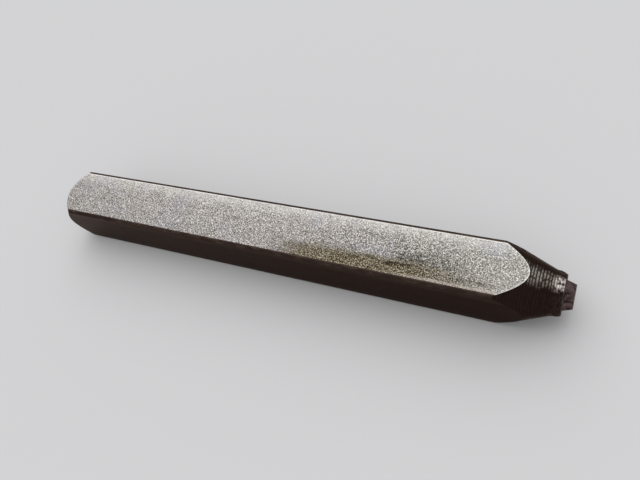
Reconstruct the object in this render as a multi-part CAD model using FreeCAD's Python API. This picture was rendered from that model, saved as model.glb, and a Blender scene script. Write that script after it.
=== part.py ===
import FreeCAD, Part
import math
import os

# A hand number stamp: a square steel bar with a turned taper that carries a raised, reversed figure.
# It lies on one flat. Millimetres, +X towards the figure, +Z up, and the origin is on the surface that
# it lies on, under the middle of its length.

# Square shank
LENGTH = 62.0  # from the struck head to the face of the figure
SHANK_WIDTH = 6.35  # across the flats
ARRIS_RADIUS = 0.4  # rounding of the four long edges

# Struck head, bevelled by turning, so the bevel cuts the corners back furthest
HEAD_FACE_DIAMETER = 5.6
HEAD_BEVEL_DEG = 40.0  # between the bevel and the axis

# Turned taper
TAPER_DEG = 22.3  # between the taper and the axis
END_LEDGE = 0.09  # width of the end face left round the foot of the figure
END_EDGE_RADIUS = 0.12  # rounding between the taper and the end face

# Raised figure, an upright numeral three made of two bowls that meet at a waist
FIGURE_HEIGHT = 3.0
FIGURE_RELIEF = 0.9  # how far the figure stands out of the end face
STROKE_WIDTH = 0.38  # across the face of a stroke
FLANK_DEG = 16.0  # draft of a stroke's sides
UPPER_BOWL_RADIUS = 0.61  # to the middle of the stroke
BOWL_OPENING_DEG = 34.0  # how far each bowl's open end stands from the level of its middle
WAIST_REACH = 0.3  # length of the short bar where the bowls meet
FIGURE_ROOT = 0.1  # how far the strokes run into the body, so that they are one with it

# Sizes that follow from the ones above
HALF_WIDTH = SHANK_WIDTH / 2
HEAD_X = -LENGTH / 2
FACE_X = LENGTH / 2
END_X = FACE_X - FIGURE_RELIEF
FLANK_FOOT = FIGURE_RELIEF * math.tan(math.radians(FLANK_DEG))
END_FACE_RADIUS = FIGURE_HEIGHT / 2 + FLANK_FOOT + END_LEDGE
LOWER_BOWL_RADIUS = (FIGURE_HEIGHT - STROKE_WIDTH) / 2 - UPPER_BOWL_RADIUS
BLANK_RADIUS = HALF_WIDTH * math.sqrt(2)  # reaches the corners of the square

ORIGIN = FreeCAD.Vector(0, 0, 0)
ALONG = FreeCAD.Vector(1, 0, 0)


def square_bar():
    """The drawn bar, along X and centred on it, with its four long edges rounded."""
    corner = FreeCAD.Vector(HEAD_X, -HALF_WIDTH, -HALF_WIDTH)
    bar = Part.makeBox(LENGTH, SHANK_WIDTH, SHANK_WIDTH, corner)
    arrises = [edge for edge in bar.Edges if abs(edge.Length - LENGTH) < edge.Length / 1000]
    lengthwise = [edge for edge in arrises if abs(edge.tangentAt(edge.FirstParameter).x) > 0.5]
    return bar.makeFillet(ARRIS_RADIUS, lengthwise)


def turned_envelope():
    """What the lathe leaves: the head's bevel, a round blank, the taper and the end face."""
    head_radius = HEAD_FACE_DIAMETER / 2
    bevel_end = HEAD_X + (BLANK_RADIUS - head_radius) / math.tan(math.radians(HEAD_BEVEL_DEG))
    taper_start = END_X - (BLANK_RADIUS - END_FACE_RADIUS) / math.tan(math.radians(TAPER_DEG))
    outline = [
        FreeCAD.Vector(HEAD_X, 0, 0),
        FreeCAD.Vector(HEAD_X, 0, head_radius),
        FreeCAD.Vector(bevel_end, 0, BLANK_RADIUS),
        FreeCAD.Vector(taper_start, 0, BLANK_RADIUS),
        FreeCAD.Vector(END_X, 0, END_FACE_RADIUS),
        FreeCAD.Vector(END_X, 0, 0),
    ]
    profile = Part.Face(Part.makePolygon(outline + outline[:1]))
    blank = profile.revolve(ORIGIN, ALONG, 360)
    rim = [edge for edge in blank.Edges if is_end_rim(edge)]
    return blank.makeFillet(END_EDGE_RADIUS, rim)


def is_end_rim(edge):
    """True for the circle where the taper meets the end face."""
    box = edge.BoundBox
    flat_ring = box.XLength < END_EDGE_RADIUS / 2
    at_end = abs(box.Center.x - END_X) < END_EDGE_RADIUS / 2
    return flat_ring and at_end and abs(box.YLength / 2 - END_FACE_RADIUS) < END_EDGE_RADIUS / 2


def half_width_at(depth):
    """Half the width of a stroke at a depth below the figure's face."""
    return STROKE_WIDTH / 2 + depth * math.tan(math.radians(FLANK_DEG))


def stroke_section(middle):
    """Section of a stroke whose middle line runs at this radius from the axis, as a face above the axis.

    Where the inner flanks of a tight bowl meet before the root, the hollow ends there in a point.
    """
    root_depth = FIGURE_RELIEF + FIGURE_ROOT
    root_half = half_width_at(root_depth)
    top_half = half_width_at(0)
    points = [
        FreeCAD.Vector(FACE_X - root_depth, 0, middle + root_half),
        FreeCAD.Vector(FACE_X, 0, middle + top_half),
        FreeCAD.Vector(FACE_X, 0, middle - top_half),
    ]
    if middle > root_half:
        points.append(FreeCAD.Vector(FACE_X - root_depth, 0, middle - root_half))
    else:
        point_depth = (middle - top_half) / math.tan(math.radians(FLANK_DEG))
        points.append(FreeCAD.Vector(FACE_X - point_depth, 0, 0))
        points.append(FreeCAD.Vector(FACE_X - root_depth, 0, 0))
    return Part.Face(Part.makePolygon(points + points[:1]))


def bowl(radius, up, start_deg, sweep_deg):
    """A round stroke about a centre this far up, its angles turning from +Y towards +Z."""
    ring = stroke_section(radius).revolve(ORIGIN, ALONG, sweep_deg)
    ring.rotate(ORIGIN, ALONG, start_deg - 90)
    ring.translate(FreeCAD.Vector(0, 0, up))
    return ring


def stroke_end(across, up):
    """The round, drafted end of a stroke."""
    root_depth = FIGURE_RELIEF + FIGURE_ROOT
    foot = FreeCAD.Vector(FACE_X - root_depth, across, up)
    return Part.makeCone(half_width_at(root_depth), half_width_at(0), root_depth, foot, ALONG)


def waist_bar(up):
    """The short straight stroke between the bowls, from their meeting point towards the open side."""
    section = stroke_section(BLANK_RADIUS)
    bar = section.extrude(FreeCAD.Vector(0, WAIST_REACH, 0))
    bar.translate(FreeCAD.Vector(0, 0, up - BLANK_RADIUS))
    return bar


def raised_figure():
    """The figure about the axis, upright along +Z and reversed, so its open side is towards +Y."""
    top = FIGURE_HEIGHT / 2 - STROKE_WIDTH / 2
    upper_up = top - UPPER_BOWL_RADIUS
    waist_up = upper_up - UPPER_BOWL_RADIUS
    lower_up = waist_up - LOWER_BOWL_RADIUS
    opening = math.radians(BOWL_OPENING_DEG)
    sweep = 270 - BOWL_OPENING_DEG
    pieces = [bowl(UPPER_BOWL_RADIUS, upper_up, BOWL_OPENING_DEG, sweep)]
    pieces.append(bowl(LOWER_BOWL_RADIUS, lower_up, 90, sweep))
    for radius, up, side in ((UPPER_BOWL_RADIUS, upper_up, 1), (LOWER_BOWL_RADIUS, lower_up, -1)):
        pieces.append(stroke_end(radius * math.cos(opening), up + side * radius * math.sin(opening)))
    pieces.append(waist_bar(waist_up))
    pieces.append(stroke_end(WAIST_REACH, waist_up))
    return pieces[0].multiFuse(pieces[1:]).removeSplitter()


def number_stamp():
    """The whole stamp, lifted so that its lower flat lies on the surface."""
    body = square_bar().common(turned_envelope())
    stamp = body.fuse(raised_figure()).removeSplitter()
    solid = stamp.Solids[0]
    solid.translate(FreeCAD.Vector(0, 0, HALF_WIDTH))
    return solid


os.makedirs("parts", exist_ok=True)
number_stamp().exportStep("parts/number_stamp.step")
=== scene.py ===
import logging
import math
from dataclasses import dataclass, field
from enum import Enum

import bpy
from mathutils import Matrix, Vector


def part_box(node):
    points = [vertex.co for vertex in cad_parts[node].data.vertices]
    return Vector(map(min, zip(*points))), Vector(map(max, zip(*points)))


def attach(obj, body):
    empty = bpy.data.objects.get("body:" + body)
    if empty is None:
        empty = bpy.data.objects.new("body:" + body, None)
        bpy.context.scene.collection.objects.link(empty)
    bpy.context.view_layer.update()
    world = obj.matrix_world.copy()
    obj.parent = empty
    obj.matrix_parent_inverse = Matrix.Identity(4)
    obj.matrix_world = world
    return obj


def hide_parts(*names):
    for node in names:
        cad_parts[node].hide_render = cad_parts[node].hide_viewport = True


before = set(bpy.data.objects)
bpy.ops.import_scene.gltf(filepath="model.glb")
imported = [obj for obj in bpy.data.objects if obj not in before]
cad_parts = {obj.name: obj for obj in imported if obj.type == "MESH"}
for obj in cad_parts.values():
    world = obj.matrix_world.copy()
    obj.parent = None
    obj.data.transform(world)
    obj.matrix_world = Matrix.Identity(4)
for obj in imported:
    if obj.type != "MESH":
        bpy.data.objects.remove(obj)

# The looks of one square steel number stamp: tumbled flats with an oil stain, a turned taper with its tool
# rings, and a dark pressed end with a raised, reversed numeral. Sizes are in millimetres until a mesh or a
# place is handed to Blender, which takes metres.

NODE = "number_stamp"
BODY = "root"
MM = 0.001
LOG = logging.getLogger(NODE)
Span = tuple[float, float]  # two places in mm: where something starts to show, and where it shows in full


def linear(code: str) -> tuple[float, float, float, float]:
    """Turns an sRGB hex colour into linear light.

    Args:
        code: the colour as six hex digits after a hash sign.

    Returns:
        Red, green, blue and an alpha of one.
    """
    shares = (int(code[i : i + 2], 16) / 255 for i in (1, 3, 5))
    light = [s / 12.92 if s <= 0.04045 else ((s + 0.055) / 1.055) ** 2.4 for s in shares]
    return (*light, 1.0)


class Attribute(str, Enum):
    """What the stamp's mesh tells its finishes at each point."""

    ALONG = "along"
    CREST = "crest"
    ARRIS = "arris"
    SIDE = "side"
    FIGURE = "figure"


class Knot(float, Enum):
    """Where each stretch of the stamp's outline starts, counted along it from the middle of the head."""

    HEAD_FACE = 0
    HEAD_BEVEL = 1
    SHANK = 2
    TAPER = 3
    END_FACE = 4


class Kind(Enum):
    """The kinds of node in the trees, each as Blender's type and the settings that it always has."""

    SUM = ("ShaderNodeMath", {"operation": "ADD"})
    DIFFERENCE = ("ShaderNodeMath", {"operation": "SUBTRACT"})
    PRODUCT = ("ShaderNodeMath", {"operation": "MULTIPLY"})
    QUOTIENT = ("ShaderNodeMath", {"operation": "DIVIDE"})
    SQUARE_ROOT = ("ShaderNodeMath", {"operation": "SQRT"})
    SINE = ("ShaderNodeMath", {"operation": "SINE"})
    COSINE = ("ShaderNodeMath", {"operation": "COSINE"})
    DIRECTION = ("ShaderNodeMath", {"operation": "ARCTAN2"})
    UNSIGNED = ("ShaderNodeMath", {"operation": "ABSOLUTE"})
    SIGN = ("ShaderNodeMath", {"operation": "SIGN"})
    FLOOR = ("ShaderNodeMath", {"operation": "FLOOR"})
    ROUND = ("ShaderNodeMath", {"operation": "ROUND"})
    ABOVE = ("ShaderNodeMath", {"operation": "GREATER_THAN"})
    LARGER = ("ShaderNodeMath", {"operation": "MAXIMUM"})
    SMALLER = ("ShaderNodeMath", {"operation": "MINIMUM"})
    SOFT_LARGER = ("ShaderNodeMath", {"operation": "SMOOTH_MAX"})
    SOFT_SMALLER = ("ShaderNodeMath", {"operation": "SMOOTH_MIN"})
    SHARE = ("ShaderNodeMapRange", {"interpolation_type": "LINEAR"})
    STEP = ("ShaderNodeMapRange", {"interpolation_type": "SMOOTHSTEP"})
    NOISE = ("ShaderNodeTexNoise", {"noise_dimensions": "3D"})
    LINE_NOISE = ("ShaderNodeTexNoise", {"noise_dimensions": "1D"})
    SEEDED_NOISE = ("ShaderNodeTexNoise", {"noise_dimensions": "4D"})
    CELLS = ("ShaderNodeTexVoronoi", {"feature": "F1", "voronoi_dimensions": "3D"})
    POINT = ("ShaderNodeCombineXYZ", {})
    PARTS = ("ShaderNodeSeparateXYZ", {})
    MOVED = ("ShaderNodeVectorMath", {"operation": "ADD"})
    SCALED = ("ShaderNodeVectorMath", {"operation": "SCALE"})
    STRETCHED = ("ShaderNodeVectorMath", {"operation": "MULTIPLY"})
    TURNED = ("ShaderNodeVectorRotate", {"rotation_type": "EULER_XYZ"})
    GIVEN = ("NodeGroupInput", {})
    RESULT = ("NodeGroupOutput", {})
    GRID = ("GeometryNodeMeshGrid", {})
    POSITION = ("GeometryNodeInputPosition", {})
    TELL = ("GeometryNodeStoreNamedAttribute", {"data_type": "FLOAT", "domain": "POINT"})
    TOLD = ("GeometryNodeInputNamedAttribute", {"data_type": "FLOAT"})
    PLACE = ("GeometryNodeSetPosition", {})
    CLOSE = ("GeometryNodeMergeByDistance", {})
    SMOOTH = ("GeometryNodeSetShadeSmooth", {})
    REALIZE = ("GeometryNodeRealizeInstances", {})
    DRESS = ("GeometryNodeSetMaterial", {})
    OBJECT_PLACE = ("ShaderNodeTexCoord", {})
    ATTRIBUTE = ("ShaderNodeAttribute", {})
    COAT = ("ShaderNodeMix", {"data_type": "RGBA", "clamp_factor": True})
    RELIEF = ("ShaderNodeBump", {})
    STEEL = ("ShaderNodeBsdfPrincipled", {})
    SURFACE = ("ShaderNodeOutputMaterial", {})
    LIGHT_PATH = ("ShaderNodeLightPath", {})


@dataclass(frozen=True)
class Value:
    """An output in a node tree, which plain arithmetic turns into further nodes."""

    graph: "Graph"
    node: bpy.types.Node
    output: "int | str" = 0

    @property
    def socket(self) -> bpy.types.NodeSocket:
        """The socket to link from."""
        return self.node.outputs[self.output]

    def out(self, output: "int | str") -> "Value":
        """Another output of the same node."""
        return Value(self.graph, self.node, output)

    def __add__(self, other: "Value | float") -> "Value":
        """This plus other."""
        return self.graph.add(Kind.SUM, self, other)

    def __sub__(self, other: "Value | float") -> "Value":
        """This minus other."""
        return self.graph.add(Kind.DIFFERENCE, self, other)

    def __rsub__(self, other: float) -> "Value":
        """Other minus this."""
        return self.graph.add(Kind.DIFFERENCE, other, self)

    def __mul__(self, other: "Value | float") -> "Value":
        """This times other."""
        return self.graph.add(Kind.PRODUCT, self, other)

    def __truediv__(self, other: "Value | float") -> "Value":
        """This over other."""
        return self.graph.add(Kind.QUOTIENT, self, other)

    __radd__ = __add__
    __rmul__ = __mul__


@dataclass(frozen=True)
class Graph:
    """One node tree, and the one way of adding to it."""

    tree: bpy.types.NodeTree

    def add(self, kind: Kind, *inputs: "Value | float | dict", output: "int | str" = 0, **settings) -> Value:
        """Adds a node, with its settings and its links.

        Args:
            kind: the kind of node.
            inputs: what the sockets take, in order, or one dict that gives them by name or number.
            output: the output that the result stands for.
            settings: further properties of the node.

        Returns:
            The chosen output.
        """
        type_name, usual = kind.value
        node = self.tree.nodes.new(type_name)
        for name, setting in (usual | settings).items():
            setattr(node, name, setting)
        by_name = len(inputs) == 1 and isinstance(inputs[0], dict)
        pairs = inputs[0].items() if by_name else enumerate(inputs)
        for key, given in pairs:
            if isinstance(given, Value):
                self.tree.links.new(given.socket, node.inputs[key])
            else:
                node.inputs[key].default_value = given
        return Value(self, node, output)


def length(first: Value, second: Value) -> Value:
    """Length of a flat vector from its two parts."""
    return first.graph.add(Kind.SQUARE_ROOT, first * first + second * second)


@dataclass(frozen=True)
class Turning:
    """The tool marks that a lathe leaves."""

    pitch: float = 0.26  # mm of feed a turn, as counted on the taper
    depth: float = 0.018  # mm from crest to hollow
    wander: float = 0.35  # share of a pitch by which a ring strays
    wander_size: float = 1.3  # mm along the taper over which it strays
    unevenness: float = 0.9  # share by which a ring's depth varies
    unevenness_size: float = 0.55  # mm along the taper over which it varies
    worn_size: float = 1.6  # mm across a patch where the rings are worn
    least_depth: float = 0.15  # share of the depth that is left where they are worn most
    fade: float = 0.16  # mm from the flat's edge over which the rings begin


@dataclass(frozen=True)
class Numeral:
    """An upright three of two round bowls, with drafted strokes that stand out of the end face."""

    height: float = 3.0
    relief: float = 0.9
    stroke: float = 0.38
    flank_deg: float = 16.0
    upper_bowl: float = 0.61
    opening_deg: float = 34.0
    waist_reach: float = 0.3
    edge_softness: float = 0.18  # share of the relief over which the edges round
    foot_softness: float = 0.35  # share of the relief over which the feet run into the end face
    outline_noise: float = 0.05  # mm by which a pressed stroke strays
    face_noise: float = 0.05  # share of the relief by which the figure's face strays

    @property
    def foot(self) -> float:
        """How far a stroke's flank spreads from its face to its foot."""
        return self.relief * math.tan(math.radians(self.flank_deg))

    @property
    def lower_bowl(self) -> float:
        """Radius of the lower bowl to the middle of its stroke."""
        return (self.height - self.stroke) / 2 - self.upper_bowl

    @property
    def upper_centre(self) -> float:
        """Height of the upper bowl's centre above the axis."""
        return self.height / 2 - self.stroke / 2 - self.upper_bowl

    @property
    def waist(self) -> float:
        """Height above the axis of the point where the bowls meet."""
        return self.upper_centre - self.upper_bowl

    @property
    def lower_centre(self) -> float:
        """Height of the lower bowl's centre above the axis."""
        return self.waist - self.lower_bowl

    def bowl_distance(self, across: Value, up: Value, radius: float, side: int) -> Value:
        """Distance from a bowl's middle line.

        Args:
            across: place across the end face, towards the numeral's open side.
            up: height above the bowl's centre.
            radius: the bowl's radius.
            side: 1 for the upper bowl, whose waist is below it, and -1 for the lower.

        Returns:
            The distance in mm.
        """
        add = across.graph.add
        opening = math.radians(self.opening_deg)
        half_sweep = (math.radians(270) - opening) / 2
        middle = side * (opening + half_sweep)
        forward = across * math.cos(middle) + up * math.sin(middle)
        sideways = add(Kind.UNSIGNED, up * math.cos(middle) - across * math.sin(middle))
        to_ring = add(Kind.UNSIGNED, length(forward, sideways) - radius)
        end_forward = radius * math.cos(half_sweep)
        end_sideways = radius * math.sin(half_sweep)
        to_end = length(forward - end_forward, sideways - end_sideways)
        past_end = add(Kind.ABOVE, add(Kind.DIRECTION, sideways, forward), half_sweep)
        return to_ring * (1 - past_end) + to_end * past_end

    def rise(self, across: Value, up: Value) -> Value:
        """How much of the relief stands at a place on the end face.

        Args:
            across: place across the end face, towards the numeral's open side.
            up: height above the axis.

        Returns:
            The share, from 0 to 1, with rounded edges and feet.
        """
        add = across.graph.add
        upper = self.bowl_distance(across, up - self.upper_centre, self.upper_bowl, 1)
        lower = self.bowl_distance(across, up - self.lower_centre, self.lower_bowl, -1)
        on_bar = add(Kind.SMALLER, add(Kind.LARGER, across, 0.0), self.waist_reach)
        bar = length(across - on_bar, up - self.waist)
        distance = add(Kind.SMALLER, add(Kind.SMALLER, upper, lower), bar)
        flank = (self.stroke / 2 + self.foot - distance) / self.foot
        softened = add(Kind.SOFT_SMALLER, flank, 1.0, self.edge_softness)
        return add(Kind.SMALLER, add(Kind.SOFT_LARGER, softened, 0.0, self.foot_softness), 1.0)


@dataclass(frozen=True)
class Blank:
    """The plain stamp at each point of the grid that is wrapped round it, before its marks."""

    x: Value  # along the axis
    radius: Value  # from the axis
    angle: Value  # round the axis, from +Y towards +Z
    arris: Value  # 1 on a rounded edge
    passed: tuple[Value, ...]  # how much of each stretch of the outline is passed
    head_x: Value  # where the head's face is
    taper_x: Value  # where the taper begins, at this angle
    rim_x: Value  # where the taper's rounded rim begins


@dataclass(frozen=True)
class Area:
    """A stretch of the stamp that takes one finish, over whatever an earlier area gave it."""

    material: bpy.types.Material
    start: Knot
    sides_only: bool = False


@dataclass
class Stamp:
    """The steel stamp, one closed mesh whose shape follows the rule of a square bar turned to a cone."""

    length: float
    width: float
    arris_radius: float = 0.4
    head_face_radius: float = 2.8
    head_bevel_deg: float = 40.0
    taper_deg: float = 22.3
    end_radius: float = 1.848
    rim_radius: float = 0.12
    turning: Turning = field(default_factory=Turning)
    numeral: Numeral = field(default_factory=Numeral)
    arris_blend: tuple[float, float] = (-0.02, 0.03)  # radians past a flat's edge, where an arris shows
    nick_depth: float = 0.045  # mm, in the long edges
    nick_size: float = 0.9  # mm
    nick_strays: tuple[float, float] = (0.3, 0.75)  # the stray at which a nick begins, and is full
    nicks_begin: Span = (0.3, 1.0)  # from the head
    nicks_end: Span = (0.0, -0.4)  # past the start of the taper
    lump_height: float = 0.1  # mm, on the pressed end
    lump_size: float = 0.45  # mm
    lump_reach: float = 1.6  # mm back from the end face
    sink: float = 0.6  # share of a lump by which the end face is pressed in
    collar_height: float = 0.12  # mm, where the metal was upset at the end of the taper
    collar_reach: float = 0.95  # mm back from the end face
    weld: float = 0.0001  # mm, how close points are that are one
    seed: float = 7.0
    flat_columns: int = 68  # faces across one flat
    corner_columns: int = 6  # faces across half a rounded edge
    rows: tuple[int, ...] = (8, 14, 60, 150, 66)  # faces along each stretch of the outline

    @classmethod
    def from_frame(cls) -> "Stamp":
        """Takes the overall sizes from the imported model."""
        low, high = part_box(NODE)
        return cls(length=(high.x - low.x) / MM, width=(high.z - low.z) / MM)

    @property
    def flat_half(self) -> float:
        """Half the width of a flat, between the rounded edges."""
        return self.width / 2 - self.arris_radius

    @property
    def rim_x(self) -> float:
        """Where the plain taper ends and its rounded rim begins."""
        return self.length / 2 - self.numeral.relief - self.rim_radius

    @property
    def rim_reach(self) -> float:
        """Radius of the plain taper where its rim begins."""
        return self.end_radius + self.rim_radius * math.tan(math.radians(self.taper_deg))

    def sizes(self) -> dict[str, float]:
        """The tree's named inputs and what they are set to."""
        return {
            "Length": self.length,
            "Width": self.width,
            "Arris Radius": self.arris_radius,
            "Head Face Radius": self.head_face_radius,
            "Head Bevel Run": 1 / math.tan(math.radians(self.head_bevel_deg)),
            "Taper Run": 1 / math.tan(math.radians(self.taper_deg)),
            "End Radius": self.end_radius,
            "Rim Radius": self.rim_radius,
            "Ring Pitch": self.turning.pitch,
            "Ring Depth": self.turning.depth,
            "Relief": self.numeral.relief,
            "Nick Depth": self.nick_depth,
            "Lump Height": self.lump_height,
            "Collar Height": self.collar_height,
            "Seed": self.seed,
        }

    def around(self, graph: Graph, column: Value, size: dict[str, Value]) -> tuple[Value, Value, Value]:
        """Direction round the axis and the square's outline there.

        Args:
            graph: the tree to add to.
            column: number of the column, from 0 to four times a side's count.
            size: the tree's named inputs.

        Returns:
            The angle, the distance from the axis to the bar's surface, and how much of an edge it is.
        """
        add = graph.add
        flat_start = self.corner_columns
        flat_end = flat_start + self.flat_columns
        per_side = flat_end + self.corner_columns
        half = size["Width"] / 2
        inner = half - size["Arris Radius"]
        flat_half = add(Kind.DIRECTION, inner, half)
        corner = math.pi / 4 - flat_half
        side = add(Kind.FLOOR, column / per_side)
        place = column - side * per_side
        across_flat = add(Kind.SHARE, place, flat_start, flat_end) * 2 - 1
        corners = add(Kind.SHARE, place, 0, flat_start) + add(Kind.SHARE, place, flat_end, per_side)
        turn = corners * corner + flat_half + add(Kind.DIRECTION, across_flat * inner, half)
        from_flat = add(Kind.UNSIGNED, turn - math.pi / 4)
        angle = math.pi / 4 - side * (math.pi / 2) - turn
        flat_reach = half / add(Kind.COSINE, from_flat)
        from_diagonal = math.pi / 4 - from_flat
        centre = inner * math.sqrt(2)
        offset = add(Kind.SINE, from_diagonal) * centre
        inside = size["Arris Radius"] * size["Arris Radius"] - offset * offset
        depth = add(Kind.SQUARE_ROOT, add(Kind.LARGER, inside, 0.0))
        corner_reach = add(Kind.COSINE, from_diagonal) * centre + depth
        is_corner = add(Kind.ABOVE, from_flat, flat_half)
        reach = flat_reach * (1 - is_corner) + corner_reach * is_corner
        return angle, reach, add(Kind.STEP, from_flat, *(flat_half + blend for blend in self.arris_blend))

    def blank(self, graph: Graph, size: dict[str, Value]) -> tuple[Value, Blank]:
        """Wraps one flat grid round the axis, as a square bar with a bevelled head and a taper.

        Args:
            graph: the tree to add to.
            size: the tree's named inputs.

        Returns:
            The grid, and the place of each of its points.
        """
        add = graph.add
        columns = 4 * (self.flat_columns + 2 * self.corner_columns)
        rows = sum(self.rows)
        counts = {"Size X": 1.0, "Size Y": 1.0, "Vertices X": rows + 1, "Vertices Y": columns + 1}
        grid = add(Kind.GRID, counts)
        spot = add(Kind.PARTS, add(Kind.POSITION))
        row = add(Kind.ROUND, (spot + 0.5) * rows)
        column = add(Kind.ROUND, (spot.out(1) + 0.5) * columns)
        angle, reach, arris = self.around(graph, column, size)

        starts = [sum(self.rows[:i]) for i in range(len(self.rows))]
        passed = tuple(add(Kind.SHARE, row, start, start + count) for start, count in zip(starts, self.rows))
        head, bevel, shank, taper, end = passed
        crowded = 0.5 - add(Kind.COSINE, shank * math.pi) * 0.5  # closer rows near both ends
        rim_x = size["Length"] / 2 - size["Relief"] - size["Rim Radius"]
        rim_reach = size["End Radius"] + size["Rim Radius"] / size["Taper Run"]
        head_x = size["Length"] * -0.5
        bevel_x = head_x + (reach - size["Head Face Radius"]) * size["Head Bevel Run"]
        taper_x = rim_x - (reach - rim_reach) * size["Taper Run"]
        x = head_x + bevel * (bevel_x - head_x) + crowded * (taper_x - bevel_x) + taper * (rim_x - taper_x)
        radius = head * size["Head Face Radius"] + bevel * (reach - size["Head Face Radius"])
        radius = radius + taper * (rim_reach - reach) - end * rim_reach
        rim_width = 1.4 * size["Rim Radius"]  # how far in its rounding reaches
        on_rim = add(Kind.SHARE, radius, rim_reach - rim_width, rim_reach)
        x = x + taper * size["Rim Radius"] * add(Kind.SQUARE_ROOT, 1 - on_rim * on_rim)
        return grid, Blank(x, radius, angle, arris, passed, head_x, taper_x, rim_x)

    def stray(self, place: Value, size: float, seed: Value, detail: float = 2.0) -> Value:
        """How far a surface strays at a place, evenly to both sides.

        Args:
            place: where it is read, in mm.
            size: how large a swell is, in mm.
            seed: what tells it from the other strays.
            detail: how many finer layers it has.

        Returns:
            A value from about -1 to 1.
        """
        inputs = {"Vector": place, "W": seed, "Scale": 1 / size, "Detail": detail}
        return place.graph.add(Kind.SEEDED_NOISE, inputs) * 2 - 1

    def rings(self, graph: Graph, size: dict[str, Value], blank: Blank, place: Value) -> tuple[Value, Value]:
        """The rings that turning left on the taper.

        Args:
            graph: the tree to add to.
            size: the tree's named inputs.
            blank: the plain stamp.
            place: its points, in mm.

        Returns:
            How deep the surface is cut, and how much of a crest it is.
        """
        add = graph.add
        marks = self.turning
        wander = add(Kind.LINE_NOISE, {"W": blank.x + size["Seed"], "Scale": 1 / marks.wander_size})
        strength = add(Kind.LINE_NOISE, {"W": blank.x + size["Seed"] * 2, "Scale": 1 / marks.unevenness_size})
        worn = self.stray(place, marks.worn_size, size["Seed"] + 5.0)
        phase = (blank.rim_x - blank.x) / size["Ring Pitch"] + (wander * 2 - 1) * marks.wander
        hollow = 0.5 - add(Kind.COSINE, phase * math.tau) * 0.5
        on_end = add(Kind.SIGN, blank.passed[-1])
        on_taper = add(Kind.STEP, blank.x - blank.taper_x, 0.0, marks.fade) * (1 - on_end)
        uneven = 1 + (strength * 2 - 1) * marks.unevenness + worn * 0.5
        cut = hollow * size["Ring Depth"] * on_taper * add(Kind.LARGER, uneven, marks.least_depth)
        return cut, (1 - hollow) * on_taper

    def form(self, areas: list[Area]) -> bpy.types.NodeTree:
        """Builds the tree that makes the whole stamp.

        Args:
            areas: what takes each finish, in the order in which they are laid on.

        Returns:
            The tree, with its sizes as named inputs.
        """
        tree = bpy.data.node_groups.new("stamp_form", "GeometryNodeTree")
        tree.is_modifier = True
        for name in self.sizes():
            tree.interface.new_socket(name, in_out="INPUT", socket_type="NodeSocketFloat")
        tree.interface.new_socket("Geometry", in_out="OUTPUT", socket_type="NodeSocketGeometry")
        graph = Graph(tree)
        add = graph.add
        given = add(Kind.GIVEN)
        size = {name: given.out(name) for name in self.sizes()}
        shape, blank = self.blank(graph, size)
        head, bevel, shank, taper, end = blank.passed
        across, up = (blank.radius * add(kind, blank.angle) for kind in (Kind.COSINE, Kind.SINE))
        bare = add(Kind.POINT, blank.x, across, up)

        lumps = self.stray(bare, self.lump_size, size["Seed"])
        strays = self.stray(bare, 2 * self.lump_size, size["Seed"] + 3.0)
        ring_cut, crest = self.rings(graph, size, blank, bare)
        from_rim = blank.x - blank.rim_x
        swell = add(Kind.STEP, from_rim, -self.lump_reach, 0.0) * (lumps + strays) * size["Lump Height"]
        collar = add(Kind.STEP, from_rim, -self.collar_reach, -0.3 * self.collar_reach) * (1 + strays)
        swell = (swell + collar * size["Collar Height"]) * (1 - end)
        nicks = add(Kind.STEP, self.stray(bare, self.nick_size, size["Seed"] + 9.0, 3.0), *self.nick_strays)
        on_shank = add(Kind.STEP, blank.x - blank.head_x, *self.nicks_begin)
        on_shank = on_shank * add(Kind.STEP, blank.x - blank.taper_x, *self.nicks_end)
        radius = blank.radius - ring_cut + swell - nicks * blank.arris * on_shank * size["Nick Depth"]

        stray_across = across + strays * self.numeral.outline_noise
        stray_up = up + lumps * self.numeral.outline_noise
        rise = self.numeral.rise(stray_across, stray_up) * add(Kind.SIGN, end)
        face_dents = (1 - add(Kind.UNSIGNED, lumps * self.numeral.face_noise)) * size["Relief"]
        pressed = add(Kind.STEP, end, 0.0, 0.2) * (1 - rise) * (lumps - self.sink) * size["Lump Height"] * 0.8
        x = blank.x + rise * face_dents + pressed
        cosine, sine = (add(kind, blank.angle) for kind in (Kind.COSINE, Kind.SINE))
        place = add(Kind.POINT, x, radius * cosine, radius * sine)
        lifted = add(Kind.MOVED, place, add(Kind.POINT, {2: size["Width"] / 2}))
        placed = add(Kind.SCALED, {0: lifted, "Scale": MM})

        told = {
            Attribute.ALONG: head + bevel + shank + taper + end,
            Attribute.CREST: crest,
            Attribute.ARRIS: blank.arris * (1 - add(Kind.SIGN, taper)),
            Attribute.SIDE: add(Kind.ABOVE, add(Kind.UNSIGNED, across), self.flat_half - 0.001),
            Attribute.FIGURE: rise,
        }
        for attribute, value in told.items():
            shape = add(Kind.TELL, {"Geometry": shape, "Name": attribute.value, "Value": value})
        shape = add(Kind.PLACE, {"Geometry": shape, "Position": placed})
        shape = add(Kind.CLOSE, {"Geometry": shape, "Distance": self.weld * MM})
        shape = add(Kind.SMOOTH, {"Geometry": shape, "Shade Smooth": True})
        shape = add(Kind.REALIZE, {"Geometry": shape})
        along, side = (add(Kind.TOLD, {"Name": a.value}) for a in (Attribute.ALONG, Attribute.SIDE))
        for area in areas:
            chosen = add(Kind.ABOVE, along, float(area.start))
            if area.sides_only:
                chosen = chosen * add(Kind.ABOVE, side, 0.99)
            shape = add(Kind.DRESS, {"Geometry": shape, "Selection": chosen, "Material": area.material})
        add(Kind.RESULT, {"Geometry": shape})
        return tree

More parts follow.
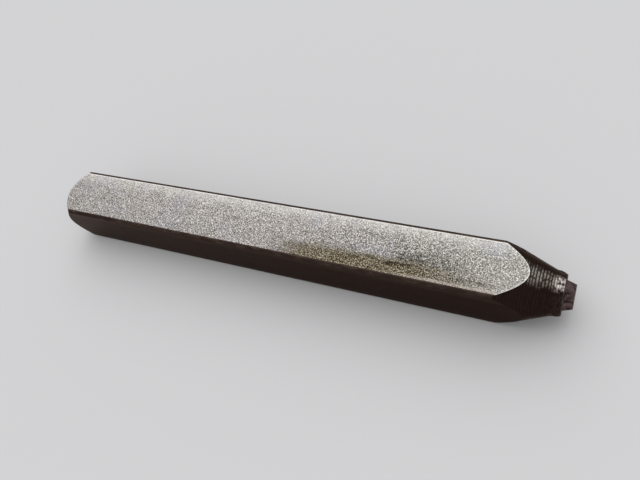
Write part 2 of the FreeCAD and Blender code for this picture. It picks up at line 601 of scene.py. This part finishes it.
    def build(self, areas: list[Area]) -> bpy.types.Object:
        """Makes the stamp as a plain mesh in place of its solid.

        Args:
            areas: what takes each finish, in the order in which they are laid on.

        Returns:
            The finished piece.
        """
        piece = bpy.data.objects.new("number_stamp_steel", bpy.data.meshes.new("number_stamp_steel"))
        bpy.context.scene.collection.objects.link(piece)
        tree = self.form(areas)
        modifier = piece.modifiers.new("stamp form", "NODES")
        modifier.node_group = tree
        sizes = self.sizes()
        for item in tree.interface.items_tree:
            if item.in_out == "INPUT":
                modifier[item.identifier] = sizes[item.name]
        graph = bpy.context.evaluated_depsgraph_get()
        shaped = piece.evaluated_get(graph)
        mesh = bpy.data.meshes.new_from_object(shaped, preserve_all_data_layers=True, depsgraph=graph)
        mesh.materials.pop(index=0)  # the empty slot that a new grid has
        piece.modifiers.clear()
        piece.data = mesh
        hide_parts(NODE)
        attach(piece, BODY)
        return piece


class Finish:
    """What every finish of the stamp shares: the start of its material, its grain, its coats and its end."""

    name = "steel"
    grazing = "#ffffff"  # tint of what it reflects at low angles
    lattice_turn = (0.5, 0.7, 0.3)  # keeps the lattice of a noise from lying along the flats

    def begin(self) -> tuple[bpy.types.Material, Graph, Value]:
        """Starts a material.

        Returns:
            The material, its graph and the place on the stamp in mm.
        """
        material = bpy.data.materials.new(self.name)
        material.use_nodes = True
        material.node_tree.nodes.clear()
        graph = Graph(material.node_tree)
        where = graph.add(Kind.OBJECT_PLACE, output="Object")
        return material, graph, graph.add(Kind.SCALED, {0: where, "Scale": 1 / MM})

    def grain(self, place: Value, size: float, drawn: float = 1.0, detail: float = 3.0) -> Value:
        """Noise whose features are this many mm across.

        Args:
            place: where it is read, in mm.
            size: how large the features are.
            drawn: how many times longer they are along the bar.
            detail: how many finer layers it has.

        Returns:
            A value from 0 to 1.
        """
        add = place.graph.add
        stretched = add(Kind.STRETCHED, place, (1 / drawn, 1.0, 1.0))
        turned = add(Kind.TURNED, {"Vector": stretched, "Rotation": self.lattice_turn})
        return add(Kind.NOISE, {"Vector": turned, "Scale": 1 / size, "Detail": detail, "Roughness": 0.6})

    def specks(self, place: Value, spacing: float, share: "Value | float") -> Value:
        """Crisp round specks, strewn at random.

        Args:
            place: where they are read, in mm.
            spacing: how far apart the places for a speck are, in mm.
            share: how many of those places hold one.

        Returns:
            1 in a speck and 0 between them.
        """
        add = place.graph.add
        turned = add(Kind.TURNED, {"Vector": place, "Rotation": self.lattice_turn})
        cells = add(Kind.CELLS, {"Vector": turned, "Scale": 1 / spacing})
        number = add(Kind.PARTS, cells.out("Color"))
        return add(Kind.ABOVE, share, number) * add(Kind.STEP, cells, 0.52, 0.3)

    def coats(self, ground: "Value | str", *layers: "tuple[Value, Value | str]") -> Value:
        """Lays colours over each other.

        Args:
            ground: the colour underneath, as a hex colour or from the tree.
            layers: for each coat, how much of it shows and its colour.

        Returns:
            The colour that is seen.
        """
        seen = linear(ground) if isinstance(ground, str) else ground
        for share, colour in layers:
            coat = linear(colour) if isinstance(colour, str) else colour
            seen = share.graph.add(Kind.COAT, {0: share, 6: seen, 7: coat}, output=2)
        return seen

    def end(self, colour: Value, roughness: Value, height: Value, depth: float) -> None:
        """Ends a material with bare metal.

        Args:
            colour: the metal's colour.
            roughness: how rough it is.
            height: the height of its fine relief, from 0 to 1.
            depth: what a height of 1 is worth, in mm.
        """
        add = colour.graph.add
        inputs = {
            "Base Color": colour,
            "Metallic": 1.0,
            "Roughness": roughness,
            "Specular Tint": linear(self.grazing),
            "Normal": add(Kind.RELIEF, {"Height": height, "Distance": depth * MM}),
        }
        add(Kind.SURFACE, {"Surface": add(Kind.STEEL, inputs)})


@dataclass(frozen=True)
class DriedOil:
    """Oil that dried on the upper flat, thick along its near edge: its colours, and where it lies."""

    stain: str = "#6f6552"
    tide: str = "#241d13"  # its dark grains and its outline
    bare: str = "#b0a794"  # steel that shows through it
    wiped: str = "#a89f96"  # steel along the edge, where it was wiped off
    begins: Span = (-1.0, 6.0)  # along the bar
    ends: Span = (4.5, 6.5)  # back from the taper's rim
    narrows: Span = (18.0, 23.0)  # along the bar
    width: Span = (1.15, 0.5)  # before and after it narrows
    blur_narrows: Span = (16.5, 21.5)  # along the bar
    blur: Span = (1.15, 0.8)  # past its outline, before and after that
    solid_from: float = -0.5  # past its outline
    thins: Span = (16.0, 22.0)  # along the bar
    film: Span = (2.5, 1.0)  # in from the edge
    film_grows: Span = (26.5, 20.0)  # along the bar
    wiped_strip: Span = (0.38, 0.2)  # in from the edge
    wiped_from: Span = (11.5, 19.0)  # along the bar
    tide_line: Span = (0.35, 0.05)  # to both sides of its outline
    streak_at: float = 14.4  # along the bar, the middle of an unbroken part of the outline
    streak_ends: Span = (1.5, 0.9)  # to both sides of that
    smear_inner: Span = (1.3, 1.8)  # in from the edge, over the outline
    smear_outer: Span = (3.0, 2.2)
    smear_begins: Span = (12.5, 15.0)  # along the bar
    smear_ends: Span = (23.0, 17.0)
    haze_at: float = 11.3  # along the bar, the middle of a bluish haze
    haze_ends: Span = (2.6, 1.2)  # to both sides of that
    haze_inner: Span = (1.6, 2.0)  # in from the edge
    haze_outer: Span = (3.2, 2.4)


@dataclass(frozen=True)
class Flat:
    """A place on the shank, and the noises that break up what lies there."""

    place: Value  # in mm
    x: Value  # mm along the bar
    inward: Value  # mm in from the near edge of the upper flat
    on_top: Value  # 1 on the upper flat
    fine: Value  # the grain
    patch: Value  # where the grain is denser
    broad: Value  # wide clouds
    smear: Value  # marks of wiping, along the bar
    fringe: Value  # the ragged edge of the oil
    stray: Value  # mm by which an outline strays

    def near(self, middle: float, ends: Span) -> Value:
        """1 about a place along the bar, and 0 beyond its ends to both sides."""
        add = self.x.graph.add
        return add(Kind.STEP, add(Kind.UNSIGNED, self.x - middle), *ends)


@dataclass(frozen=True)
class TumbledSteel(Finish):
    """Drawn tool steel, hardened and tumbled: a pale satin grain with dirt in its pits, and a painted
    highlight along its far edges and the taper's arc.
    """

    name: str = "tumbled_tool_steel"
    steel: str = "#96938d"
    blush: str = "#9a9290"  # a warm tint towards the middle of the bar
    pit: str = "#35312b"
    # pale specks of the grain, the lighter far strip, and the painted highlight along the far edge and the
    # arc
    pale_steel_and_highlight: str = "#d9d7d2"
    temper: str = "#9a9cab"  # a faint blue that hardening left
    roughness: float = 0.4
    grain_size: float = 0.122  # mm; the real grain is finer, and is drawn this coarse so that it shows
    patch_size: float = 0.732  # mm
    broad_size: float = 3.5  # mm
    smear_size: float = 0.5  # mm across a mark of wiping, which is six times as long
    dash_size: float = 0.17  # mm across a dash in the smear over the oil
    mottle_size: float = 1.1  # mm
    speck_spacing: float = 0.2  # mm
    speck_share: float = 0.3
    fringe_size: float = 0.4  # mm
    wave_size: float = 2.4  # mm along the bar
    clump_size: float = 0.8  # mm
    relief: float = 0.015  # mm
    darkening_fades: Span = (25.0, 15.0)  # along the bar, where a patchy darkening fades out towards the taper
    darkening_grows: Span = (1.0, 10.0)
    darkening_across: Span = (1.0, 5.2)  # in from the near edge, over which the darkening fades out towards the far edge
    lighter_strip: Span = (3.8, 5.3)  # in from the near edge, over which the upper flat turns lighter towards its far edge
    dirty_at: float = 17.0  # along the bar
    dirty_ends: Span = (5.5, 2.5)  # to both sides of that
    dirty_across: Span = (4.6, 3.2)  # in from the near edge
    blush_from: Span = (20.0, 8.0)  # along the bar
    arc_highlight: Span = (0.06, 0.025)  # from the arc where the taper cuts the flat, over which its painted highlight lies
    edge_highlight_span: Span = (-0.16, -0.08)  # past the flat's edge, over which the painted highlight along the far edge lies
    oil: DriedOil = DriedOil()

    def flat(self, place: Value, stamp: Stamp) -> Flat:
        """Reads the place on the shank.

        Args:
            place: the place on the stamp, in mm.
            stamp: the stamp that the finish goes on.

        Returns:
            The place, with the noises there.
        """
        add = place.graph.add
        spot = add(Kind.PARTS, place)
        fringe = self.grain(place, self.fringe_size, drawn=2.0)
        wave = self.grain(add(Kind.POINT, {0: spot}), self.wave_size, detail=2.0)
        return Flat(
            place=place,
            x=spot,
            inward=spot.out(1) + stamp.flat_half,
            on_top=add(Kind.STEP, spot.out(2) - stamp.width / 2, stamp.flat_half, stamp.width / 2 - 0.05),
            fine=self.grain(place, self.grain_size),
            patch=self.grain(place, self.patch_size, detail=2.0),
            broad=self.grain(place, self.broad_size, detail=2.0),
            smear=self.grain(place, self.smear_size, drawn=6.0),
            fringe=fringe,
            stray=(wave - 0.5) * 0.9 + (fringe - 0.5) * 1.2,
        )

    def dirt(self, flat: Flat) -> tuple[Value, Value, Value]:
        """A patchy darkening of the upper flat, and dirt in the grain, which is thickest over the oil.

        Args:
            flat: the place on the shank.

        Returns:
            How much the surface is darkened, how much dirt lies in its pits, and the crisp specks.
        """
        add = flat.x.graph.add
        # darker in patches over the middle of the shank and towards the head and the near edge, fading
        # towards the taper
        darkening = add(Kind.STEP, flat.x, *self.darkening_fades, 0.0, 0.3)
        darkening = darkening * add(Kind.STEP, flat.x, *self.darkening_grows, 0.4, 1.0)
        darkening = darkening * add(Kind.STEP, flat.broad, 0.25, 0.65, 0.5, 1.0) * flat.on_top
        darkening = darkening * add(Kind.SHARE, flat.inward, *self.darkening_across, 1.15, 0.0)
        dirty = flat.near(self.dirty_at, self.dirty_ends)
        dirty = dirty * add(Kind.STEP, flat.inward, *self.dirty_across, 0.0, 0.22)
        often = add(Kind.STEP, flat.patch, 0.3, 0.6, 0.4, 0.65) + darkening + dirty * flat.on_top
        mottle = self.grain(flat.place, self.mottle_size, drawn=1.5)
        share = self.speck_share
        crowd = add(Kind.STEP, mottle, 0.35, 0.65, share * 0.5, share * 1.5)
        oily = add(Kind.STEP, flat.x, 27.0, 18.0, -0.11, 0.06) - add(Kind.STEP, flat.x, 9.0, 2.0, 0.0, 0.08)
        specks = self.specks(flat.place, self.speck_spacing, crowd + flat.on_top * oily)
        return darkening, add(Kind.STEP, flat.fine, 0.51, 0.41) * often, specks

    def stains(self, flat: Flat, stamp: Stamp) -> tuple[Value, Value, Value]:
        """The dried oil.

        Args:
            flat: the place on the shank.
            stamp: the stamp that the finish goes on.

        Returns:
            How much there is of the thin film, of the stain itself and of its dark outline.
        """
        add = flat.x.graph.add
        oil = self.oil
        past = flat.inward - (add(Kind.STEP, flat.x, *oil.narrows, *oil.width) + flat.stray)
        reach = add(Kind.STEP, flat.x, *oil.begins) * flat.on_top
        reach = reach * add(Kind.STEP, flat.x, *(stamp.rim_x - back for back in oil.ends))
        blur = add(Kind.STEP, flat.x, *oil.blur_narrows, *oil.blur)
        within = add(Kind.STEP, past, blur, oil.solid_from)
        speckled = add(Kind.STEP, within + (flat.fine - 0.5) * 2.0, 0.3, 0.75)
        stained = speckled * reach * add(Kind.STEP, flat.x, *oil.thins, 1.0, 0.15)
        film = add(Kind.STEP, flat.inward + flat.stray * 0.5, *oil.film)
        film = film * add(Kind.STEP, flat.x, *oil.film_grows, 0.1, 0.4) * reach
        clumps = add(Kind.STEP, self.grain(flat.place, self.clump_size, drawn=2.0), 0.5, 0.6)
        clumps = clumps * add(Kind.STEP, flat.fringe, 0.44, 0.56) * 0.6
        clumps = add(Kind.LARGER, clumps, flat.near(oil.streak_at, oil.streak_ends))
        tide = add(Kind.STEP, add(Kind.UNSIGNED, past), *oil.tide_line) * clumps * reach
        return film, stained, tide

    def smears(self, flat: Flat) -> tuple[Value, Value, Value]:
        """What wiping left of the oil.

        Args:
            flat: the place on the shank.

        Returns:
            How much there is of the smear over the stain, of the haze beside it and of the wiped strip.
        """
        add = flat.x.graph.add
        oil = self.oil
        smear = add(Kind.STEP, flat.inward + flat.stray * 0.3, *oil.smear_inner)
        smear = smear * add(Kind.STEP, flat.inward + flat.stray * 0.5, *oil.smear_outer)
        smear = smear * add(Kind.STEP, flat.x, *oil.smear_begins)
        smear = smear * add(Kind.STEP, flat.x, *oil.smear_ends, 0.1, 1.0) * flat.on_top
        haze = add(Kind.STEP, flat.inward, *oil.haze_inner) * add(Kind.STEP, flat.inward, *oil.haze_outer)
        haze = haze * flat.near(oil.haze_at, oil.haze_ends) * flat.on_top
        wiped = add(Kind.STEP, flat.inward + flat.stray * 0.15, *oil.wiped_strip)
        return smear, haze, wiped * flat.on_top * add(Kind.STEP, flat.x, *oil.wiped_from)

    def rim(self, place: Value, stamp: Stamp) -> Value:
        """How much a place takes the painted highlight along a flat's far edge and along the taper's arc.

        Args:
            place: the place on the stamp, in mm.
            stamp: the stamp that the finish goes on.

        Returns:
            The share, from 0 to 1.
        """
        add = place.graph.add
        spot = add(Kind.PARTS, place)
        x, y, up = spot, spot.out(1), spot.out(2) - stamp.width / 2
        past_edge = add(Kind.UNSIGNED, y) - stamp.flat_half
        cone = (stamp.rim_x - x) * math.tan(math.radians(stamp.taper_deg)) + stamp.rim_reach
        arc_highlight = add(Kind.STEP, cone - length(y, up), *self.arc_highlight)
        far_edge_highlight = add(Kind.STEP, past_edge, *self.edge_highlight_span) * add(Kind.ABOVE, y, 0.0)
        return add(Kind.LARGER, far_edge_highlight, arc_highlight)

    def build(self, stamp: Stamp) -> bpy.types.Material:
        """Makes the material.

        Args:
            stamp: the stamp that it goes on.

        Returns:
            The material.
        """
        material, graph, place = self.begin()
        add = graph.add
        oil = self.oil
        flat = self.flat(place, stamp)
        fine, patch = flat.fine, flat.patch
        darkening, pits, specks = self.dirt(flat)
        film, stained, tide = self.stains(flat, stamp)
        smear, haze, wiped = self.smears(flat)
        # the upper flat turns lighter towards its far edge
        lighter_towards_far_edge = add(Kind.STEP, flat.inward, *self.lighter_strip) * flat.on_top
        dashes = add(Kind.STEP, self.grain(place, self.dash_size, drawn=4.5), 0.49, 0.56)
        ground = self.coats(oil.stain, (add(Kind.STEP, fine, 0.56, 0.42), oil.tide))
        colour = self.coats(
            self.steel,
            (add(Kind.STEP, flat.x, *self.blush_from, 0.0, 0.6), self.blush),
            (darkening, self.pit),
            (pits, self.pit),
            (add(Kind.STEP, fine, 0.53, 0.63) * 0.9, self.pale_steel_and_highlight),
            (lighter_towards_far_edge * 0.3, self.pale_steel_and_highlight),
            (add(Kind.STEP, flat.broad, 0.5, 0.7) * flat.on_top * 0.2, self.temper),
            (haze * 0.15, self.temper),
            (add(Kind.STEP, flat.smear, 0.54, 0.75) * 0.35, self.pit),
            (smear * 0.14, self.pit),
            (smear * dashes * 0.85, self.pit),
            (film, ground),
            (stained * add(Kind.STEP, patch, 0.3, 0.55, 0.75, 1.0), ground),
            (stained * add(Kind.STEP, fine, 0.54, 0.61) * 0.7, oil.bare),
            (specks * add(Kind.STEP, flat.x, 24.0, 18.0, 0.35, 0.55), self.pit),
            (tide * 0.85, oil.tide),
            (wiped * add(Kind.STEP, fine, 0.38, 0.55, 0.35, 0.7), oil.wiped),
            # painted highlight along the far edge and the arc, broken up by the smear noise
            (self.rim(place, stamp) * add(Kind.STEP, flat.smear, 0.35, 0.6, 0.3, 0.75), self.pale_steel_and_highlight),
        )
        roughness = add(Kind.STEP, fine, 0.35, 0.65, self.roughness + 0.06, self.roughness - 0.06)
        height = (fine * 0.7 + flat.smear * 0.3) * (1 - wiped * 0.6)
        self.end(colour, roughness - stained * 0.05, height, self.relief)
        return material


@dataclass(frozen=True)
class FacedSteel(Finish):
    """The struck head, faced and bevelled on a lathe: a dull grey in fine rings, worn bright at its edge."""

    name: str = "faced_tool_steel"
    steel: str = "#7d7a75"
    groove: str = "#514d47"
    worn: str = "#b3b0aa"
    ring_pitch: float = 0.14  # mm of feed a turn; a finer feed is usual, and is drawn so that it shows
    ring_depth: float = 0.005  # mm
    grain_size: float = 0.12  # mm
    patch_size: float = 1.3  # mm
    roughness: float = 0.36

    def build(self, stamp: Stamp) -> bpy.types.Material:
        """Makes the material.

        Args:
            stamp: the stamp that it goes on.

        Returns:
            The material.
        """
        material, graph, place = self.begin()
        add = graph.add
        spot = add(Kind.PARTS, place)
        from_axis = length(spot.out(1), spot.out(2) - stamp.width / 2)
        along = add(Kind.ATTRIBUTE, output="Fac", attribute_name=Attribute.ALONG.value)
        fine = self.grain(place, self.grain_size)
        patch = self.grain(place, self.patch_size)
        ring = 0.5 - add(Kind.COSINE, (from_axis / self.ring_pitch + patch * 0.2) * math.tau) * 0.5
        edge = add(Kind.STEP, add(Kind.UNSIGNED, along - Knot.HEAD_BEVEL), 0.3, 0.0)
        edge = add(Kind.LARGER, edge, add(Kind.STEP, along, Knot.SHANK - 0.12, Knot.SHANK))
        colour = self.coats(
            self.steel,
            (ring * add(Kind.STEP, fine, 0.35, 0.6, 0.9, 0.2), self.groove),
            (add(Kind.STEP, patch, 0.5, 0.68) * add(Kind.STEP, fine, 0.6, 0.4, 0.3, 0.8), self.groove),
            (edge * add(Kind.STEP, patch, 0.3, 0.6, 0.9, 0.4), self.worn),
        )
        roughness = add(Kind.STEP, fine, 0.3, 0.7, self.roughness - 0.06, self.roughness + 0.08)
        self.end(colour, roughness, ring * 0.7 + fine * 0.3, self.ring_depth)
        return material


@dataclass(frozen=True)
class SideSteelPaintedShade(Finish):
    """Drawn tool steel on the bar's sides, painted brown-black as shade: smooth and dim, and lighter along
    its edges, partly as rubbed wear and partly as a painted highlight.
    """

    name: str = "side_steel_painted_shade"
    # painted shade: the brown-black of the sides, with thin as its lighter speckle
    film: str = "#281b19"
    thin: str = "#372b28"
    # lighter edges and arrises: partly rubbed wear, partly painted highlight
    rubbed: str = "#7d6d61"
    grazing: str = "#cfc8c4"
    draw_line: float = 0.15  # mm across the marks of drawing; real ones are finer, and wouldn't show
    streak_size: float = 0.5  # mm across a rubbed streak
    grain_size: float = 0.14  # mm
    edge_share: tuple[float, float] = (0.68, 0.88)  # of half a side, where its lighter edge begins, partly rubbed wear and partly painted highlight
    roughness: float = 0.3

    def build(self, stamp: Stamp) -> bpy.types.Material:
        """Makes the material.

        Args:
            stamp: the stamp that it goes on.

        Returns:
            The material.
        """
        material, graph, place = self.begin()
        add = graph.add
        arris = add(Kind.ATTRIBUTE, output="Fac", attribute_name=Attribute.ARRIS.value)
        up = add(Kind.PARTS, place).out(2) - stamp.width / 2
        streak = self.grain(place, self.streak_size, drawn=3.3)
        fine = self.grain(place, self.grain_size)
        lines = self.grain(place, self.draw_line, drawn=30.0, detail=4.0)
        edge = (stamp.flat_half * share for share in self.edge_share)
        by_edge = add(Kind.STEP, add(Kind.UNSIGNED, up), *edge)
        worn = add(Kind.STEP, arris, 0.5, 1.0) * add(Kind.STEP, streak, 0.46, 0.66, 0.01, 0.2)
        # painted shade over the sides, lightened a little along their edges
        colour = self.coats(
            self.film,
            (add(Kind.STEP, lines, 0.45, 0.65, 0.1, 0.4), self.thin),
            (add(Kind.STEP, fine, 0.46, 0.64) * add(Kind.STEP, streak, 0.35, 0.65, 0.2, 0.5), self.thin),
            # lighter near the side's edges and on the arrises: partly rubbed wear, partly painted highlight
            (by_edge * add(Kind.STEP, streak, 0.3, 0.6, 0.06, 0.11), self.rubbed),
            (worn * add(Kind.STEP, fine, 0.4, 0.6, 0.6, 1.0), self.rubbed),
        )
        roughness = add(Kind.STEP, fine, 0.3, 0.7, self.roughness - 0.05, self.roughness + 0.07)
        self.end(colour, roughness, lines * 0.6 + fine * 0.4, 0.006)
        return material


@dataclass(frozen=True)
class TurnedSteel(Finish):
    """Turned tool steel under scale and old oil: rubbed crests in a painted highlight band along its top and
    bottom, brightest near the end, and painted shade on its sides.
    """

    name: str = "turned_steel_painted_light"
    # rubbed crests, which with the dark sides over them make a painted highlight band
    crest: str = "#a59e95"
    grazing: str = "#cfc8c4"
    # painted highlight near the end
    end_highlight: str = "#e8ded8"
    hollow: str = "#3f3833"
    # painted shade on the sides, and dark oil in patches
    oil: str = "#271b18"
    highlight_band_offset: float = 0.12  # mm from the middle of the flat to the middle of the painted highlight band
    painted_shade_edge: tuple[float, float] = (0.12, 0.46)  # radians from that, where the painted shade of the sides begins
    end_highlight_from: Span = (28.8, 29.6)  # along the bar, where the painted highlight near the end grows
    grain_size: float = 0.14  # mm
    patch_size: float = 0.7  # mm
    gap_size: float = 0.33  # mm, of the gaps in the rubbed crests
    oil_shine: float = 0.1  # by how much the painted-shade sides and the oil patches are smoother
    roughness: float = 0.34

    def build(self, stamp: Stamp) -> bpy.types.Material:
        """Makes the material.

        Args:
            stamp: the stamp that it goes on.

        Returns:
            The material.
        """
        material, graph, place = self.begin()
        add = graph.add
        spot = add(Kind.PARTS, place)
        x, y, up = spot, spot.out(1), spot.out(2) - stamp.width / 2
        crest = add(Kind.ATTRIBUTE, output="Fac", attribute_name=Attribute.CREST.value)
        fine = self.grain(place, self.grain_size)
        patch = self.grain(place, self.patch_size)
        broken = add(Kind.STEP, self.grain(place, self.gap_size, detail=2.0), 0.36, 0.56)
        near_end = add(Kind.STEP, x, *self.end_highlight_from)
        # painted highlight: rubbed crests, partly real wear, turning near-white towards the end
        bright = self.coats(self.crest, (near_end, self.end_highlight))
        rubbed = add(Kind.LARGER, add(Kind.STEP, crest, 0.15, 0.8) * broken, near_end * broken * 0.75)
        # painted shade: the sides darken away from a band along the top and bottom; wet adds patches of real
        # oil
        slope = add(Kind.DIRECTION, add(Kind.UNSIGNED, y - self.highlight_band_offset), add(Kind.UNSIGNED, up))
        sides = add(Kind.STEP, slope + (patch - 0.5) * 0.4, *self.painted_shade_edge, 0.1, 0.98)
        wet = add(Kind.LARGER, sides, add(Kind.STEP, patch, 0.44, 0.34) * 0.7)
        colour = self.coats(self.hollow, (rubbed, bright), (wet, self.oil))
        roughness = add(Kind.STEP, fine, 0.3, 0.7, self.roughness - 0.06, self.roughness + 0.1)
        self.end(colour, roughness - wet * self.oil_shine, fine * (1 - wet * 0.6), 0.012)
        return material


@dataclass(frozen=True)
class PressedSteel(Finish):
    """The pressed end: upset metal with hardening scale, wet with dark oil."""

    name: str = "pressed_oily_steel"
    scale: str = "#635454"
    grazing: str = "#cfc8c4"
    oil: str = "#2c211e"
    worn: str = "#8f8780"
    grain_size: float = 0.12  # mm
    patch_size: float = 0.6  # mm
    relief: float = 0.03  # mm
    roughness: float = 0.3

    def build(self) -> bpy.types.Material:
        """Makes the material."""
        material, graph, place = self.begin()
        add = graph.add
        figure = add(Kind.ATTRIBUTE, output="Fac", attribute_name=Attribute.FIGURE.value)
        fine = self.grain(place, self.grain_size)
        patch = self.grain(place, self.patch_size)
        face = add(Kind.STEP, figure, 0.9, 0.99) * add(Kind.STEP, fine, 0.35, 0.55, 0.5, 1.0)
        scaly = add(Kind.STEP, patch, 0.35, 0.6)
        colour = self.coats(self.oil, (scaly, self.scale), (face * 0.8, self.worn))
        roughness = add(Kind.STEP, fine, 0.3, 0.7, self.roughness - 0.08, self.roughness + 0.12)
        self.end(colour, roughness, fine * 0.5 + patch * 0.5, self.relief)
        return material


@dataclass(frozen=True)
class Studio:
    """A pale paper floor under one wide soft light and an even grey surround."""

    floor_size: float = 12.0  # m
    floor_drop: float = 0.02  # mm below the stamp, so that the two don't share a face
    paper: str = "#e8e8e9"
    surround: str = "#dededf"
    surround_strength: float = 0.68
    backdrop_strength: float = 0.89  # what the camera and the reflections see, to match the floor
    light_from: tuple[float, float, float] = (-0.3, 0.44, 0.85)
    light_angle_deg: float = 80.0  # how wide the light is, seen from the stamp
    light_strength: float = 1.14  # W/m2

    def build(self) -> None:
        """Makes the floor, the light and the surround."""
        half = self.floor_size / 2
        drop = -self.floor_drop * MM
        corners = [(-half, -half, drop), (half, -half, drop), (half, half, drop), (-half, half, drop)]
        mesh = bpy.data.meshes.new("paper_floor")
        mesh.from_pydata(corners, [], [(0, 1, 2, 3)])
        floor = bpy.data.objects.new("paper_floor", mesh)
        bpy.context.scene.collection.objects.link(floor)
        mesh.materials.append(self.paper_finish())
        self.light()
        LOG.info("studio: floor of %.1f m, one light of %.2f W/m2", self.floor_size, self.light_strength)

    def paper_finish(self) -> bpy.types.Material:
        """Smooth matt paper, with no pattern of its own."""
        material = bpy.data.materials.new("matt_paper")
        material.use_nodes = True
        shader = material.node_tree.nodes["Principled BSDF"]
        shader.inputs["Base Color"].default_value = linear(self.paper)
        shader.inputs["Roughness"].default_value = 0.9
        shader.inputs["Specular IOR Level"].default_value = 0.0
        return material

    def light(self) -> None:
        """Hangs the wide light, far enough away to be even over the floor, and lights the surround."""
        data = bpy.data.lights.new("wide_softbox", "SUN")
        data.angle = math.radians(self.light_angle_deg)
        data.energy = self.light_strength
        lamp = bpy.data.objects.new("wide_softbox", data)
        lamp.rotation_euler = Vector(self.light_from).to_track_quat("Z", "Y").to_euler()
        bpy.context.scene.collection.objects.link(lamp)
        world = bpy.data.worlds.new("grey_surround")
        world.use_nodes = True
        background = world.node_tree.nodes["Background"]
        background.inputs["Color"].default_value = linear(self.surround)
        graph = Graph(world.node_tree)
        path = graph.add(Kind.LIGHT_PATH, output="Is Camera Ray")
        seen = path + path.out("Is Glossy Ray") + path.out("Is Transmission Ray")
        seen = graph.add(Kind.SMALLER, seen, 1.0)
        strength = seen * (self.backdrop_strength - self.surround_strength) + self.surround_strength
        graph.tree.links.new(strength.socket, background.inputs["Strength"])
        bpy.context.scene.world = world
        bpy.context.scene.view_settings.view_transform = "Standard"


@dataclass(frozen=True)
class PhotoCamera:
    """The camera of the photograph: a hand's width above the stamp, turned to take its whole length in."""

    place: tuple[float, float, float] = (31.0, -25.16, 59.21)  # mm
    aim: tuple[float, float, float] = (4.0, 1.0, 3.0)  # mm
    roll_deg: float = -30.0
    lens: float = 33.75  # mm
    sensor: float = 36.0  # mm wide

    def build(self) -> None:
        """Makes the camera and gives it to the scene."""
        data = bpy.data.cameras.new("photo_camera")
        data.sensor_width = self.sensor
        data.lens = self.lens
        data.clip_start = 5 * MM
        data.clip_end = 10.0
        camera = bpy.data.objects.new("photo_camera", data)
        place = Vector(self.place) * MM
        facing = (Vector(self.aim) * MM - place).to_track_quat("-Z", "Y")
        turned = facing.to_matrix().to_4x4() @ Matrix.Rotation(math.radians(self.roll_deg), 4, "Z")
        camera.matrix_world = Matrix.Translation(place) @ turned
        bpy.context.scene.collection.objects.link(camera)
        bpy.context.scene.camera = camera


def main() -> None:
    """Builds the stamp, its finishes and its surroundings, and notes its size."""
    logging.basicConfig(level=logging.INFO, format="%(name)s: %(message)s")
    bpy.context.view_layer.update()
    stamp = Stamp.from_frame()
    areas = [
        Area(FacedSteel().build(stamp), Knot.HEAD_FACE),
        Area(TumbledSteel().build(stamp), Knot.SHANK),
        Area(SideSteelPaintedShade().build(stamp), Knot.SHANK, sides_only=True),
        Area(TurnedSteel().build(stamp), Knot.TAPER),
        Area(PressedSteel().build(), Knot.END_FACE),
    ]
    piece = stamp.build(areas)
    triangles = sum(len(face.vertices) - 2 for face in piece.data.polygons)
    LOG.info("%s: %d triangles, %d finishes", piece.name, triangles, len(piece.data.materials))
    Studio().build()
    PhotoCamera().build()


if __name__ == "__main__":
    main()
